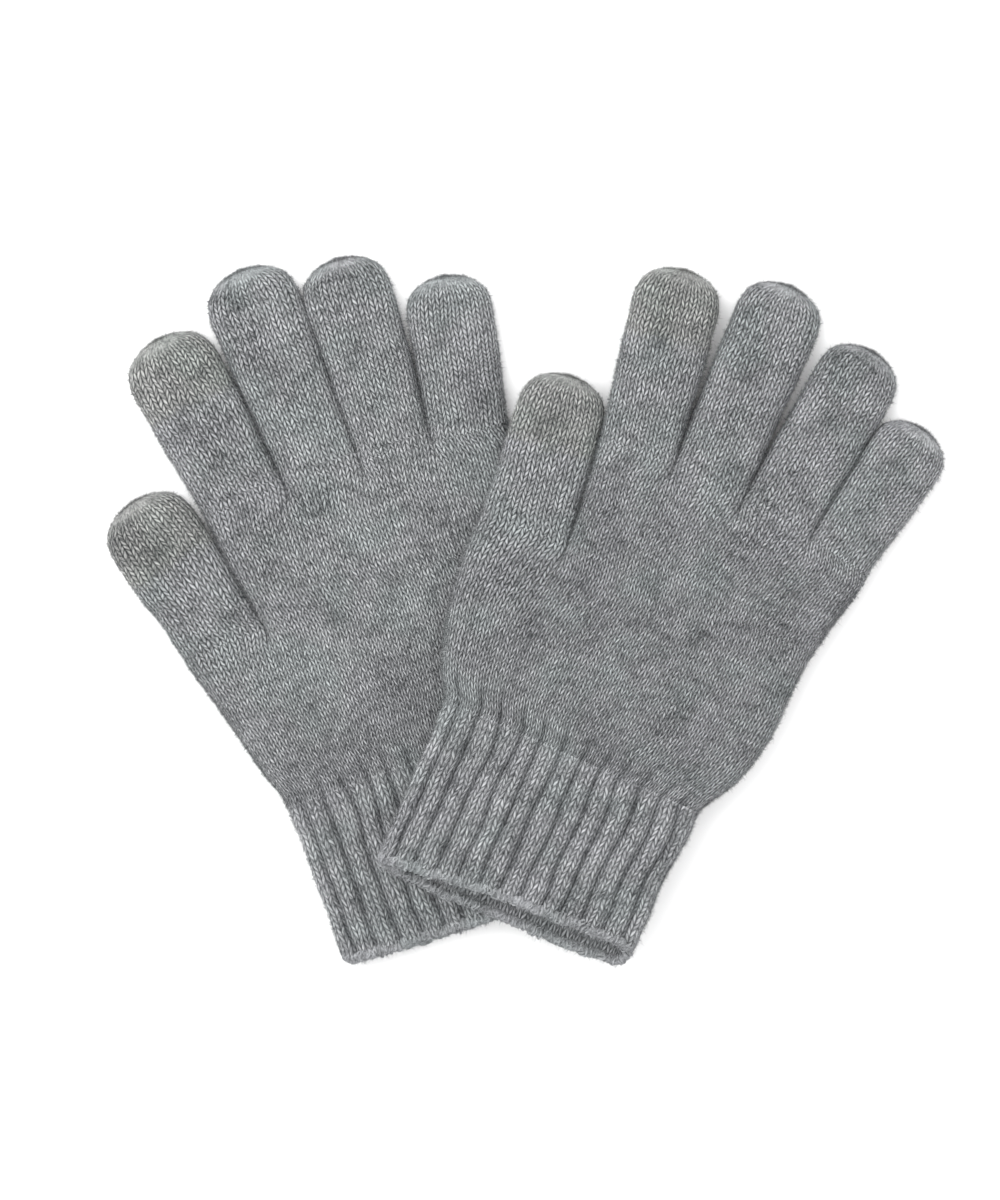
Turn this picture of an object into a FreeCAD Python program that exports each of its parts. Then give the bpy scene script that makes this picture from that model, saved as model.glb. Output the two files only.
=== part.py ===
import FreeCAD, Part
import math
import os

from FreeCAD import Vector

# A pair of knitted touchscreen gloves laid flat, one resting across the edge of the other.
# Millimetres, +Z up. The lower glove lies on the table plane Z = 0. The origin is the middle of
# the pair's footprint, on that plane. Both gloves are the same knitted pattern.
#
# Each glove is drawn in its own frame first: X runs across the hand, Y runs from the middle of the
# wrist line towards the fingers, and Z is up through the cloth. Every bend is a fold line parallel
# to X, as on a knitted glove, whose sections all end on a straight course of stitches.

# ---- knitted cloth -------------------------------------------------------------------------------
CLOTH = 1.4                # plain knit wall
RIB_CLOTH = 1.8            # ribbed cuff wall
FINGER_THICK = 7.8         # a finger lying flat, outside to outside
PALM_THICK = 8.2           # the palm lying flat
CUFF_THICK = 8.8           # the ribbed cuff lying flat
HEM_BEAD = 0.8             # how far the overlocked hem stands above the cuff
PRESSED = 0.1              # how much the cloth under the palm is pressed flat

# ---- hand pattern --------------------------------------------------------------------------------
WRIST_WIDTH = 90.6         # across the wrist line, where the rib starts
KNUCKLE_SHIFT = 16.2       # middle of the four finger roots, right of the wrist middle
FINGER_ROOT_WIDTH = 24.2   # every finger but the thumb, at its root
THUMB_ROOT_WIDTH = 28.0
THUMB_CROTCH_INSET = 2.6   # how much further right the hand's edge starts, beside the thumb
PALM_FLARE = 2.2           # above 1 the palm's edges leave the wrist quickly, then straighten
EDGE_NARROWING = 5.0       # how much further in the palm's right edge is beside the thumb
PALM_COURSES = 6           # straight stretches in each curved edge of the palm
FINGER_GAP = 0.6           # free space between neighbours at their roots
WEB = 6.0                  # depth of the wall between two neighbouring hollows
CROTCH_STITCH_R = 1.0      # bundle of closing stitches at the foot of each gap
FINGERS = ("thumb", "index", "middle", "ring", "little")
ROOT_Y = {"thumb": 60.5, "index": 97.0, "middle": 98.0, "ring": 96.5, "little": 93.0}
LENGTH = {"thumb": 51.0, "index": 60.5, "middle": 69.0, "ring": 63.8, "little": 52.5}
BASE_LENGTH = {"thumb": 23.0, "index": 27.0, "middle": 30.0, "ring": 28.0, "little": 22.0}
PAD_WIDTH = {"thumb": 27.2, "index": 27.6, "middle": 27.8, "ring": 26.6, "little": 25.6}

# ---- bends, touch tips and cuff ------------------------------------------------------------------
BEND_GAP = 0.3             # clearance behind the rounded end of each moving section
TOUCH_LENGTH = 24.0        # conductive yarn, from the end of the fingertip
TOUCH_FINGERS = ("thumb", "index")
SEAM_DEPTH = 2.4           # gathered yarn inside each fingertip
CUFF_LENGTH = 48.0         # wrist line to hem
CUFF_END_WIDTH = 87.0
HEM_LENGTH = 3.0
ELASTIC_COUNT = 4          # elastic threads laid into the inner face of the rib
ELASTIC_WIDTH = 1.0
ELASTIC_DEPTH = 0.7
ELASTIC_PITCH = 9.0

# ---- how the two gloves lie ----------------------------------------------------------------------
# turn: anticlockwise seen from above. shear: how far the hand leans aside per mm above the wrist.
# splay: each finger's lean to the right of the hand's own Y axis, in degrees.
LOWER = {
    "name": "lower_glove",
    "turn": 20.0,
    "wrist": (-32.6, -47.5),
    "shear": -0.045,
    "splay": {"thumb": -13.5, "index": -7.9, "middle": -1.5, "ring": 3.8, "little": 9.6},
    "sloped": False,
}
UPPER = {
    "name": "upper_glove",
    "turn": -24.0,
    "wrist": (14.6, -47.5),
    "shear": 0.0,
    "splay": {"thumb": -5.5, "index": -7.6, "middle": -0.4, "ring": 5.8, "little": 9.2},
    "sloped": True,
}
SLOPE_AZIMUTH = 20.0       # direction in which the upper glove slopes down to the table
REST_GAP = 0.6             # between the lower glove and the upper one lying on it

CAP_ANGLES = (0.0, 20.0, 40.0, 55.0, 68.0, 78.0)    # sections round each fingertip, in degrees
TIP_ROUNDNESS = 1.8        # thickness over half width where a fingertip closes
REACH = 400.0              # longer than anything here, for cutting tools


# ---- sizes worked out from the ones above --------------------------------------------------------
FINGER_PITCH = FINGER_ROOT_WIDTH + FINGER_GAP
SETBACK = FINGER_THICK / 2.0 + BEND_GAP
ROW_LEFT = KNUCKLE_SHIFT - 2.0 * FINGER_PITCH + FINGER_GAP / 2.0
ROW_RIGHT = KNUCKLE_SHIFT + 2.0 * FINGER_PITCH - FINGER_GAP / 2.0
THUMB_LINE = ROOT_Y["thumb"] - SETBACK
KNUCKLE_LINE = max(ROOT_Y.values()) - SETBACK
WEB_LINE = min(ROOT_Y[finger] for finger in FINGERS[1:]) - SETBACK - WEB
THUMB_RIGHT = ROW_LEFT + THUMB_CROTCH_INSET - FINGER_GAP
THUMB_LEFT = THUMB_RIGHT - THUMB_ROOT_WIDTH


def root_width(finger):
    return THUMB_ROOT_WIDTH if finger == "thumb" else FINGER_ROOT_WIDTH


def root_x(lay, finger):
    """Middle of a finger's root, on its fold line."""
    lean_of_hand = lay["shear"] * ROOT_Y[finger]
    if finger == "thumb":
        return (THUMB_LEFT + THUMB_RIGHT) / 2.0 + lean_of_hand
    place = FINGERS.index(finger) - 2.5
    return KNUCKLE_SHIFT + place * FINGER_PITCH + lean_of_hand


def bend_y(lay, finger):
    """Fold line between a finger's two sections."""
    lean = math.radians(lay["splay"][finger])
    return ROOT_Y[finger] + BASE_LENGTH[finger] * math.cos(lean)


# ---- outlines ------------------------------------------------------------------------------------
def flat_tube(y, left, right, thick, low):
    """Outline across the hand at height y: two flat sides joined by half circles."""
    end = thick / 2.0
    middle = low + end
    corners = [
        Vector(left + end, y, low),
        Vector(right - end, y, low),
        Vector(right - end, y, low + thick),
        Vector(left + end, y, low + thick),
    ]
    edges = [
        Part.makeLine(corners[0], corners[1]),
        Part.Arc(corners[1], Vector(right, y, middle), corners[2]).toShape(),
        Part.makeLine(corners[2], corners[3]),
        Part.Arc(corners[3], Vector(left, y, middle), corners[0]).toShape(),
    ]
    return Part.Wire(edges)


def loft(wires):
    return Part.makeLoft(wires, True, True)


def finger_outline(lay, finger, along, wall):
    """Outline of a finger at a distance along its middle line, wall inside its outer face.

    Below its root a finger doesn't lean, so that it turns clear of its neighbours.
    """
    lean = math.radians(lay["splay"][finger]) if along > 0.0 else 0.0
    root = root_width(finger) / 2.0
    pad = PAD_WIDTH[finger] / 2.0
    straight = LENGTH[finger] - pad
    share = min(max(along / straight, 0.0), 1.0)
    half = root + (pad - root) * share - wall
    thick = FINGER_THICK - 2.0 * wall
    if along > straight:
        cap = (along - straight) / (pad - wall)
        half = half * math.sqrt(max(1.0 - cap * cap, 0.0))
        thick = min(thick, TIP_ROUNDNESS * half)
    half = half / math.cos(lean)
    y = ROOT_Y[finger] + along * math.cos(lean)
    x = root_x(lay, finger) + along * math.sin(lean)
    return flat_tube(y, x - half, x + half, thick, (FINGER_THICK - thick) / 2.0)


def finger_body(lay, finger, start, wall):
    """The closed finger from a distance start to its tip, or its hollow when wall is set."""
    pad = PAD_WIDTH[finger] / 2.0
    straight = LENGTH[finger] - pad
    stops = [start] if start > 0.0 else [start, 0.0]
    for angle in CAP_ANGLES:
        stops.append(straight + (pad - wall) * math.sin(math.radians(angle)))
    return loft([finger_outline(lay, finger, stop, wall) for stop in stops])


def slab(y_low, y_high):
    """Everything between two heights above the wrist line."""
    return Part.makeBox(2.0 * REACH, y_high - y_low, 2.0 * REACH, Vector(-REACH, y_low, -REACH))


def from_fold(shape, y_fold):
    """Keep what lies past a fold line, and round its end about that line."""
    centre = Vector(-REACH, y_fold, FINGER_THICK / 2.0)
    barrel = Part.makeCylinder(FINGER_THICK / 2.0, 2.0 * REACH, centre, Vector(1, 0, 0))
    return shape.common(slab(y_fold, REACH)).fuse(shape.common(barrel)).removeSplitter()


# ---- one glove's pieces --------------------------------------------------------------------------
def palm_side(y, wrist_side, thumb_side):
    """Palm edge that leaves the wrist quickly and then runs nearly straight."""
    share = min(max(y / THUMB_LINE, 0.0), 1.0)
    return wrist_side + (thumb_side - wrist_side) * (1.0 - (1.0 - share) ** PALM_FLARE)


def palm_outline(lay, y, wall, with_thumb):
    """Outline of the palm at height y, with or without the thumb's share of the width."""
    shift = lay["shear"] * y
    above = min(max((y - THUMB_LINE) / (WEB_LINE - THUMB_LINE), 0.0), 1.0)
    right = palm_side(y, WRIST_WIDTH / 2.0, ROW_RIGHT - EDGE_NARROWING) + EDGE_NARROWING * above
    left = ROW_LEFT + THUMB_CROTCH_INSET * (1.0 - above)
    if with_thumb:
        left = palm_side(y, -WRIST_WIDTH / 2.0, THUMB_LEFT)
    thick = PALM_THICK - (PALM_THICK - FINGER_THICK) * above + PRESSED
    return flat_tube(y, left + wall + shift, right - wall + shift, thick - 2.0 * wall, wall - PRESSED)


def palm_steps(low, high):
    return [low + (high - low) * step / PALM_COURSES for step in range(PALM_COURSES + 1)]


def crotches(lay):
    """Foot of the gap beside each finger but the last, as seen from above."""
    places = []
    for index, finger in enumerate(FINGERS[:-1]):
        after = FINGERS[index + 1]
        y = min(ROOT_Y[finger], ROOT_Y[after]) - SETBACK - WEB / 2.0
        inset = THUMB_CROTCH_INSET if finger == "thumb" else 0.0
        x = ROW_LEFT - FINGER_GAP / 2.0 + index * FINGER_PITCH + inset + lay["shear"] * y
        places.append((x, y))
    return places


def make_crotch_stitches(lay):
    """Bundles of yarn that tie front to back at the foot of each gap."""
    bundles = []
    for x, y in crotches(lay):
        foot = Vector(x, y, CLOTH / 2.0)
        bundles.append(Part.makeCylinder(CROTCH_STITCH_R, PALM_THICK - CLOTH / 2.0, foot))
    return Part.makeCompound(bundles)


def make_palm(lay):
    """Hollow hand of the glove, open at the wrist and at each finger root, flat underneath."""
    wide = loft([palm_outline(lay, y, 0.0, True) for y in palm_steps(0.0, THUMB_LINE)])
    above_thumb = (THUMB_LINE, WEB_LINE, KNUCKLE_LINE)
    outside = wide.fuse(loft([palm_outline(lay, y, 0.0, False) for y in above_thumb]))
    for finger in FINGERS[1:]:
        corner = Vector(
            root_x(lay, finger) - FINGER_PITCH / 2.0,
            ROOT_Y[finger] - SETBACK,
            -REACH / 2.0,
        )
        width = REACH if finger == FINGERS[-1] else FINGER_PITCH
        outside = outside.cut(Part.makeBox(width, REACH, REACH, corner))
    thumb_web = THUMB_LINE - WEB
    palm = outside.cut(loft([palm_outline(lay, y, CLOTH, True) for y in palm_steps(0.0, thumb_web)]))
    past_web = (thumb_web, THUMB_LINE, WEB_LINE)
    palm = palm.cut(loft([palm_outline(lay, y, CLOTH, False) for y in past_web]))
    for finger in FINGERS:
        foot = thumb_web if finger == "thumb" else WEB_LINE
        channel = [foot - ROOT_Y[finger], 0.0]
        palm = palm.cut(loft([finger_outline(lay, finger, along, CLOTH) for along in channel]))
    above_table = Part.makeBox(2.0 * REACH, 2.0 * REACH, REACH, Vector(-REACH, -REACH, 0.0))
    return palm.common(above_table).cut(make_crotch_stitches(lay))


def make_base_section(lay, finger):
    """Root half of a finger: a flat tube, rounded at its fold line and open at both ends."""
    tube = finger_body(lay, finger, -FINGER_THICK, 0.0)
    tube = tube.cut(finger_body(lay, finger, -2.0 * FINGER_THICK, CLOTH))
    tube = from_fold(tube, ROOT_Y[finger])
    return tube.common(slab(-REACH, bend_y(lay, finger) - SETBACK))


def make_end_section(lay, finger):
    """Closed end half of a finger, the touch tip included."""
    start = BASE_LENGTH[finger] - FINGER_THICK
    shell = finger_body(lay, finger, start, 0.0)
    shell = shell.cut(finger_body(lay, finger, start - FINGER_THICK, CLOTH))
    return from_fold(shell, bend_y(lay, finger))


def tip_y(lay, finger):
    return ROOT_Y[finger] + LENGTH[finger] * math.cos(math.radians(lay["splay"][finger]))


def make_tip_seam(lay, finger):
    """Gathered yarn ends that close the fingertip, inside it."""
    hollow = finger_body(lay, finger, BASE_LENGTH[finger], CLOTH)
    return hollow.common(slab(tip_y(lay, finger) - CLOTH - SEAM_DEPTH, REACH))


def cuff_outline(y, wall, bead):
    """Outline of the cuff at height y below the wrist line, raised by the hem's bead."""
    share = -y / CUFF_LENGTH
    half = (WRIST_WIDTH + (CUFF_END_WIDTH - WRIST_WIDTH) * share) / 2.0 + bead - wall
    return flat_tube(y, -half, half, CUFF_THICK + bead - 2.0 * wall, wall)


def cuff_hollow():
    return loft([cuff_outline(y, RIB_CLOTH, 0.0) for y in (1.0, -CUFF_LENGTH - HEM_LENGTH - 1.0)])


def make_elastic():
    """Elastic threads round the inside of the rib, each in its own groove."""
    rings = []
    for number in range(ELASTIC_COUNT):
        top = -CUFF_LENGTH + (number + 1) * ELASTIC_PITCH
        spans = (top, top - ELASTIC_WIDTH)
        ring = loft([cuff_outline(y, RIB_CLOTH - ELASTIC_DEPTH, 0.0) for y in spans])
        rings.append(ring.cut(cuff_hollow()))
    return Part.makeCompound(rings)


def make_cuff():
    outside = loft([cuff_outline(y, 0.0, 0.0) for y in (0.0, -CUFF_LENGTH)])
    return outside.cut(cuff_hollow()).cut(make_elastic())


def make_hem():
    """Overlocked edge of the cuff, a little proud of it."""
    outside = loft([cuff_outline(y, 0.0, HEM_BEAD) for y in (-CUFF_LENGTH, -CUFF_LENGTH - HEM_LENGTH)])
    return outside.cut(cuff_hollow())


def make_glove(lay):
    """All pieces of one glove in its own frame, by node name."""
    name = lay["name"]
    pieces = {
        name + "_palm": make_palm(lay),
        name + "_crotch_stitches": make_crotch_stitches(lay),
        name + "_ribbed_cuff": make_cuff(),
        name + "_cuff_hem": make_hem(),
        name + "_cuff_elastic": make_elastic(),
    }
    for finger in FINGERS:
        stem = name + "_" + finger
        pieces[stem + "_base"] = make_base_section(lay, finger)
        end = make_end_section(lay, finger)
        if finger in TOUCH_FINGERS:
            joint_line = tip_y(lay, finger) - TOUCH_LENGTH
            pieces[stem + "_touch_tip"] = end.common(slab(joint_line, REACH))
            end = end.common(slab(-REACH, joint_line))
        pieces[stem + "_end"] = end
        pieces[stem + "_tip_seam"] = make_tip_seam(lay, finger)
    return pieces


# ---- laying the pair down ------------------------------------------------------------------------
def on_table(lay, x, y):
    """Where a point of a glove's own frame falls on the table before the glove is tipped."""
    turn = math.radians(lay["turn"])
    across = lay["wrist"][0] + x * math.cos(turn) - y * math.sin(turn)
    along = lay["wrist"][1] + x * math.sin(turn) + y * math.cos(turn)
    return Vector(across, along, 0.0)


def slope_angle():
    """Tilt that carries the upper glove from the table over the corner of the lower glove's hem."""
    azimuth = math.radians(SLOPE_AZIMUTH)
    downhill = Vector(math.cos(azimuth), math.sin(azimuth), 0.0)
    lean = math.radians(UPPER["splay"]["little"])
    pad = LENGTH["little"] - PAD_WIDTH["little"] / 2.0
    pad_x = root_x(UPPER, "little") + pad * math.sin(lean)
    pad_y = ROOT_Y["little"] + pad * math.cos(lean)
    low_end = on_table(UPPER, pad_x, pad_y) + downhill * (PAD_WIDTH["little"] / 2.0)
    corner = on_table(LOWER, CUFF_END_WIDTH / 2.0 + HEM_BEAD, -CUFF_LENGTH - HEM_LENGTH)
    rise = CUFF_THICK + HEM_BEAD + REST_GAP
    return math.degrees(math.atan2(rise, (low_end - corner).dot(downhill)))


def placement(lay, height):
    """Turn a glove on the table, tip it down its slope, and set it at its place."""
    azimuth = math.radians(SLOPE_AZIMUTH)
    slope_axis = Vector(-math.sin(azimuth), math.cos(azimuth), 0.0)
    turn = FreeCAD.Rotation(Vector(0, 0, 1), lay["turn"])
    tip = FreeCAD.Rotation(slope_axis, slope_angle() if lay["sloped"] else 0.0)
    x, y = lay["wrist"]
    return FreeCAD.Placement(Vector(x, y, height), tip.multiply(turn))


def place(pieces, where):
    placed = {}
    for node, shape in pieces.items():
        moved = shape.copy()
        moved.Placement = where.multiply(moved.Placement)
        placed[node] = moved
    return placed


def overall_box(pieces):
    return Part.makeCompound(list(pieces.values())).optimalBoundingBox(False, False)


def lay_pair():
    """Both gloves at rest, and the placement of each."""
    lower_place = placement(LOWER, 0.0)
    lower = place(make_glove(LOWER), lower_place)
    upper_flat = make_glove(UPPER)
    upper_place = placement(UPPER, 0.0)
    lowest = overall_box(place(upper_flat, upper_place)).ZMin
    upper_place = placement(UPPER, -lowest)
    upper = place(upper_flat, upper_place)
    box = overall_box({**lower, **upper})
    shift = Vector(-(box.XMin + box.XMax) / 2.0, -(box.YMin + box.YMax) / 2.0, -box.ZMin)
    move = FreeCAD.Placement(shift, FreeCAD.Rotation())
    places = {"lower_glove": move.multiply(lower_place), "upper_glove": move.multiply(upper_place)}
    return place({**lower, **upper}, move), places


def main():
    pieces, places = lay_pair()
    for node, shape in pieces.items():
        whole = shape.Solids[0] if len(shape.Solids) == 1 else shape
        whole.exportStep("parts/" + node + ".step")
    return pieces, places


os.makedirs("parts", exist_ok=True)
PIECES, PLACES = main()
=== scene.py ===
import math

import bpy
import numpy as np
from mathutils import Matrix, Vector


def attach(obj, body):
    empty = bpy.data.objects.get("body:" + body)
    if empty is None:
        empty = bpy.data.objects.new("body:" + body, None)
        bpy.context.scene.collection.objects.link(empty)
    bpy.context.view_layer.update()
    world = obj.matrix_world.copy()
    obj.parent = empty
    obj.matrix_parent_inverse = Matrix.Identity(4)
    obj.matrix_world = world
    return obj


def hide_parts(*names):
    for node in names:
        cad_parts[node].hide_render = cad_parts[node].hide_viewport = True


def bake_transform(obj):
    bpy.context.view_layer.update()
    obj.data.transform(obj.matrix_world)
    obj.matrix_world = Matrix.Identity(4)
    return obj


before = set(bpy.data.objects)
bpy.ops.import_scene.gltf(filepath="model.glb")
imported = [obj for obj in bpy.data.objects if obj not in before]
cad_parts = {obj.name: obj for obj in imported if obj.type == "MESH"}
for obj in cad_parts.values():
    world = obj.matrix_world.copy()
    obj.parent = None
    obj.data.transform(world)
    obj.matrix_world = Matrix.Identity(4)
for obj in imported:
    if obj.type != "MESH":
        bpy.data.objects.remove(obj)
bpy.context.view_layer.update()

# A pair of melange knit gloves, one lying across the edge of the other.
# Shapes are worked out in millimetres in each glove's own frame, as in the CAD source: X across
# the hand, Y from the wrist to the fingers, Z up through the cloth. They go to the row frame, in
# metres, at the end.

MM = 0.001
RANDOM = np.random.default_rng(7)

# ---- knit ----------------------------------------------------------------------------------------
WALE_VERTS = 6             # mesh columns in one wale
COURSE_VERTS = 4           # mesh rows in one course
COURSE = 1.9               # height of one course of stitches
FINGER_WALES = 11          # wales on each face of a finger
PALM_WALES = 11            # wales on the palm for each finger
SLANT = 1.10               # how many courses the leg of a stitch climbs
RELIEF = 0.62              # depth of the stitches
RIB_WALES = 3              # wales in one rib, its groove included
RIBS = 13                  # on each face of the cuff
RIB_RELIEF = 1.9           # from a groove to the crown of a rib
GROOVE_CROWDING = 0.6      # how far the wales crowd into the grooves
CUFF_COURSES = 24          # from the wrist to the hem
ROOT_TUCK = 1.2            # how far a finger's first row reaches into the palm
CUFF_CORNER = 5.0          # radius of the corners of the hem, seen from above
SIDE_ARC = 1.3             # half of the wale that runs along an edge
EDGE_OPENING = 0.34        # openness of an edge where it joins its neighbour at a crotch
EDGE_ROUND = 6.0           # distance over which an edge rounds off
UNDER = 0.40               # share of the thickness below the fold of the edge
FINGER_THICK = 7.8
PALM_THICK = 8.2
CUFF_THICK = 9.2
CUFF_TAPER = 1.2           # how much thinner the cuff is where it meets the palm
PALM_START = -1.6          # the palm reaches this far into the cuff
LOW_COURSES = 32           # of the palm below the thumb's root
HIGH_COURSES = 20          # of the palm above it
BASE_SHARE = 0.65          # of a finger's base length, drawn as its base piece
TIP_BLUNTNESS = 2.55       # 2 is a half circle
FINGERS = ("thumb", "index", "middle", "ring", "little")
TOUCH_FINGERS = ("thumb", "index")

# ---- loose fibres --------------------------------------------------------------------------------
PALM_FIBRES = 10000        # on each half of the palm
CUFF_FIBRES = 8000
HEM_FIBRES = 6000
FINGER_FIBRES = 90         # on each millimetre of a finger's length

# Root line, CAD fold lines and lengths, as in the CAD source.
ROOT_Y = {"thumb": 60.5, "index": 97.0, "middle": 98.0, "ring": 96.5, "little": 93.0}
LENGTH = {"thumb": 51.0, "index": 60.5, "middle": 69.0, "ring": 63.8, "little": 52.5}
BASE_LENGTH = {"thumb": 23.0, "index": 27.0, "middle": 30.0, "ring": 28.0, "little": 22.0}
TOUCH_LENGTH = 24.0

# Each glove: where it lies, the edges of its palm against height, the crotches on its root lines,
# and each finger's pad centre and pad width.
GLOVES = {
    "lower_glove": {
        "turn": 20.0,
        "rib_rise": 0.0,
        "shade": 0.0,
        "tilt": 0.0,
        "origin": (-33.9, -48.3, 0.0),
        "left": ((-2, -46.6), (3, -46.8), (12, -49.6), (28, -53.6), (44, -57.8), (56, -61.2)),
        "right": ((-2, 44.6), (6, 46.2), (20, 52.0), (44, 57.0), (60, 58.6), (94, 61.6)),
        "inner": ((56, -34.0), (68, -36.0), (96, -39.6)),
        "thumb_row": (55.5, 57.5),
        "crotch_x": (-12.6, 12.6, 36.6),
        "knuckles": (96.2, 97.6, 96.6, 94.6, 92.6),
        "pads": {
            "thumb": (-57.0, 94.6, 29.6),
            "index": (-32.8, 140.6, 29.8),
            "middle": (-2.0, 152.4, 29.2),
            "ring": (27.2, 145.8, 28.0),
            "little": (55.8, 129.8, 26.8),
        },
        "droop": {},
    },
    "upper_glove": {
        "turn": -24.0,
        "rib_rise": 6.0,
        # Painted shade that darkens this glove's palm.
        "shade": 0.22,
        "tilt": 3.95,
        "origin": (13.3, -48.3, 10.05),
        "left": ((-2, -44.6), (3, -45.6), (8, -49.0), (24, -54.6), (44, -58.0), (60, -58.2)),
        "right": ((-2, 42.0), (4, 44.8), (14, 50.2), (28, 54.0), (52, 55.2), (70, 57.2), (92, 62.2)),
        "inner": ((60, -29.6), (72, -30.4), (97, -33.4)),
        "thumb_row": (60.0, 61.0),
        "crotch_x": (-8.8, 15.8, 40.6),
        "knuckles": (96.8, 98.6, 97.2, 95.0, 92.2),
        "pads": {
            "thumb": (-48.6, 97.8, 27.2),
            "index": (-28.4, 144.0, 27.2),
            "middle": (2.8, 153.0, 26.8),
            "ring": (33.6, 145.2, 25.8),
            "little": (57.8, 129.8, 24.4),
        },
        "droop": {"thumb": 3.4, "index": 3.2, "middle": 2.0, "ring": 0.8},
    },
}
CUFF_EDGE = {"lower_glove": (-46.2, 44.0), "upper_glove": (-44.0, 41.6)}

# The hem's front and back edges at equal steps across the hand.
CUFF_FRONT = {
    "lower_glove": (-51.5, -52.5, -53.5, -54.0, -52.5),
    "upper_glove": (-53.6, -50.4, -48.2, -47.4, -46.4),
}
CUFF_BACK = {
    "lower_glove": (-52.0, -53.6, -54.6, -55.0, -53.0),
    "upper_glove": (-54.4, -55.2, -54.6, -54.2, -52.4),
}
SLOPE_AZIMUTH = 20.0


def smooth(t):
    t = np.clip(t, 0.0, 1.0)
    return t * t * (3.0 - 2.0 * t)


def curve(points, at):
    """Smooth curve through a few (place, value) pairs."""
    xs = np.array([p[0] for p in points], float)
    ys = np.array([p[1] for p in points], float)
    slope = np.gradient(ys, xs)
    at = np.clip(at, xs[0], xs[-1])
    i = np.clip(np.searchsorted(xs, at) - 1, 0, len(xs) - 2)
    span = xs[i + 1] - xs[i]
    t = (at - xs[i]) / span
    a = (1 + 2 * t) * (1 - t) ** 2 * ys[i] + t * (1 - t) ** 2 * span * slope[i]
    return a + t * t * (3 - 2 * t) * ys[i + 1] + t * t * (t - 1) * span * slope[i + 1]


def wander(u, v, seed, size_u, size_v):
    """Slow smooth noise over the knit, about -1 to 1."""
    r = np.random.default_rng(seed)
    total = np.zeros(np.broadcast(u, v).shape)
    for _ in range(7):
        a, b, phase = r.normal(), r.normal(), r.uniform(0, 2 * math.pi)
        total = total + np.sin(a * 2.2 * u / size_u + b * 2.2 * v / size_v + phase)
    return total / 3.2


# ---- cross sections ------------------------------------------------------------------------------
def arc(t):
    return np.sqrt(np.clip(1.0 - (1.0 - np.clip(t, 0.0, 1.0)) ** 2, 0.0, 1.0))


def ring(breaks, wales, pinch, floors, thick, held, count, low=0.0, edge_round=EDGE_ROUND):
    """One course of a flattened tube: count points (x, z) round it from the middle of its left edge.

    breaks are its edges and the crotches between them, wales the wales on its face between two of
    them. pinch is how far the crotches pull in, floors the openness of its two edges, and held how
    far the wales keep to the breaks rather than spreading evenly.
    """
    steps = 0.5 - 0.5 * np.cos(np.linspace(0.0, math.pi, 61))
    xs = [breaks[0] + (breaks[1] - breaks[0]) * steps]
    for start_x, end_x in zip(breaks[1:-1], breaks[2:]):
        xs.append(start_x + (end_x - start_x) * steps[1:])
    x = np.concatenate(xs)
    left = floors[0] + (1 - floors[0]) * arc((x - breaks[0]) / edge_round)
    right = floors[1] + (1 - floors[1]) * arc((breaks[-1] - x) / edge_round)
    open_share = np.minimum(left, right)
    for crotch in breaks[1:-1]:
        dip = EDGE_OPENING + (1 - EDGE_OPENING) * arc(np.abs(x - crotch) / edge_round)
        open_share = open_share * ((1 - pinch) + pinch * dip)
    middle = low + UNDER * thick
    top = np.stack([x, middle + (1 - UNDER) * thick * open_share], 1)
    bottom = np.stack([x, middle - UNDER * thick * open_share], 1)[::-1]
    start = np.array([[breaks[0], middle]])
    loop = np.concatenate([start, top, bottom, start])
    along = np.concatenate([[0.0], np.cumsum(np.linalg.norm(np.diff(loop, axis=0), axis=1))])
    total = along[-1]
    at_top = along[1:1 + len(x)]
    ends = np.cumsum([len(p) for p in xs]) - 1
    knots_top = [max(at_top[0], SIDE_ARC)] + [at_top[e] for e in ends[:-1]]
    knots_top.append(min(at_top[-1], total / 2.0 - SIDE_ARC) if floors[1] < 0.2 else at_top[-1])
    faces = sum(wales)
    u_top = [0.5 + s for s in np.concatenate([[0], np.cumsum(wales)])]
    half = (at_top[-1] + along[1 + len(x)]) / 2.0
    knots_bottom = [2 * half - k for k in reversed(knots_top)]
    if floors[0] >= 0.2:
        knots_bottom[-1] = along[len(loop) - 2]
    u_bottom = [2 * faces + 2 - u for u in reversed(u_top)]
    u = np.arange(count) * (2 * faces + 2) / count
    knots_u = [0] + u_top + u_bottom + [2 * faces + 2]
    knots = [0] + knots_top + knots_bottom + [total]
    kept = np.interp(u, knots_u, knots)
    even = u * total / (2 * faces + 2)
    where = held * kept + (1 - held) * even
    return np.stack([np.interp(where, along, loop[:, 0]), np.interp(where, along, loop[:, 1])], 1)


# ---- stitches ------------------------------------------------------------------------------------
def loosen(u, v, seed):
    """Hand of the knit: wales and courses that wander a little."""
    moved_u = u + 0.10 * wander(u, v, seed, 3.0, 5.0) + 0.07 * wander(u, v, seed + 2, 0.9, 1.6)
    moved_v = v + 0.16 * wander(u, v, seed + 1, 4.0, 3.0) + 0.12 * wander(u, v, seed + 3, 1.3, 1.1)
    return moved_u, moved_v


def scatter(u, v, seed):
    """A steady random value, 0 to 1, for each whole cell of the knit."""
    table = np.random.default_rng(seed).uniform(size=(257, 263))
    return table[np.floor(u).astype(int) % 257, np.floor(v).astype(int) % 263]


def stitch_relief(u, v, seed):
    """Height of plain knit, 0 in the gaps and 1 on the yarn. Wales meet at whole u + 0.5."""
    across = np.abs(2 * np.mod(u + 0.5, 1.0) - 1)
    climb = v - SLANT * across
    turn = np.mod(climb, 1.0)
    leg = 1 - np.abs(2 * across - 1) ** 2.2
    bead = np.sqrt(np.clip(1 - (2 * turn - 1) ** 2, 0, 1))
    plump = 0.68 + 0.44 * scatter(2 * u + 1, climb, seed)
    return (0.30 + 0.70 * leg) * (0.25 + 0.75 * bead) * plump


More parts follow.
